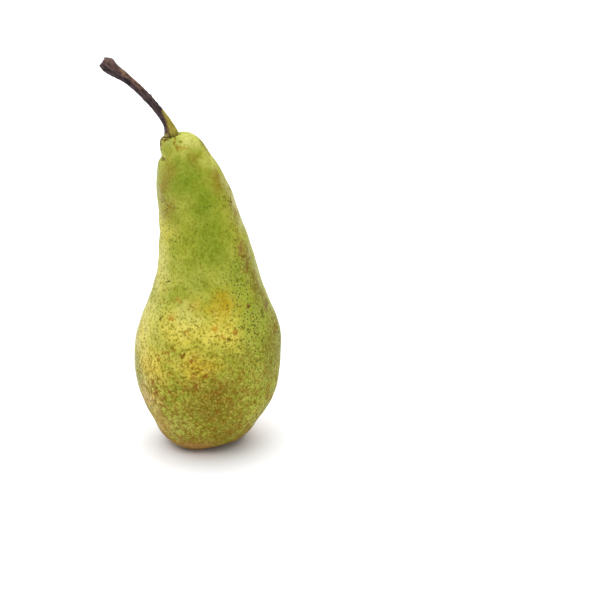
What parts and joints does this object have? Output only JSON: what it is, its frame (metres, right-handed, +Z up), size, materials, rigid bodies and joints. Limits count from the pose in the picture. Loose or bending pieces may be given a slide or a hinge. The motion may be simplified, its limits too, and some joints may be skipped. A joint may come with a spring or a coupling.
{
  "type": "pear",
  "caption": "Tall green and yellow russeted pear with a long leaning neck and a curved woody stem, standing upright on the ring of flesh round its eye.",
  "frame": {"origin": "middle of the whole pear's footprint, on the surface it stands on", "axes": "+Z up along the pear, -X the way the neck and the stem lean, -Y the side that the picture shows"},
  "size_m": [0.0695, 0.0602, 0.1611],
  "materials": {
    "skin": "waxy fruit skin, satin, green to yellow with brown russet and dots",
    "bark": "dry brown bark, matt",
    "dried_sepals": "dried and shrivelled, matt"
  },
  "bodies": {
    "root": {"fruit": "skin", "stem": "bark", "calyx": "dried_sepals"}
  },
  "joints": []
}
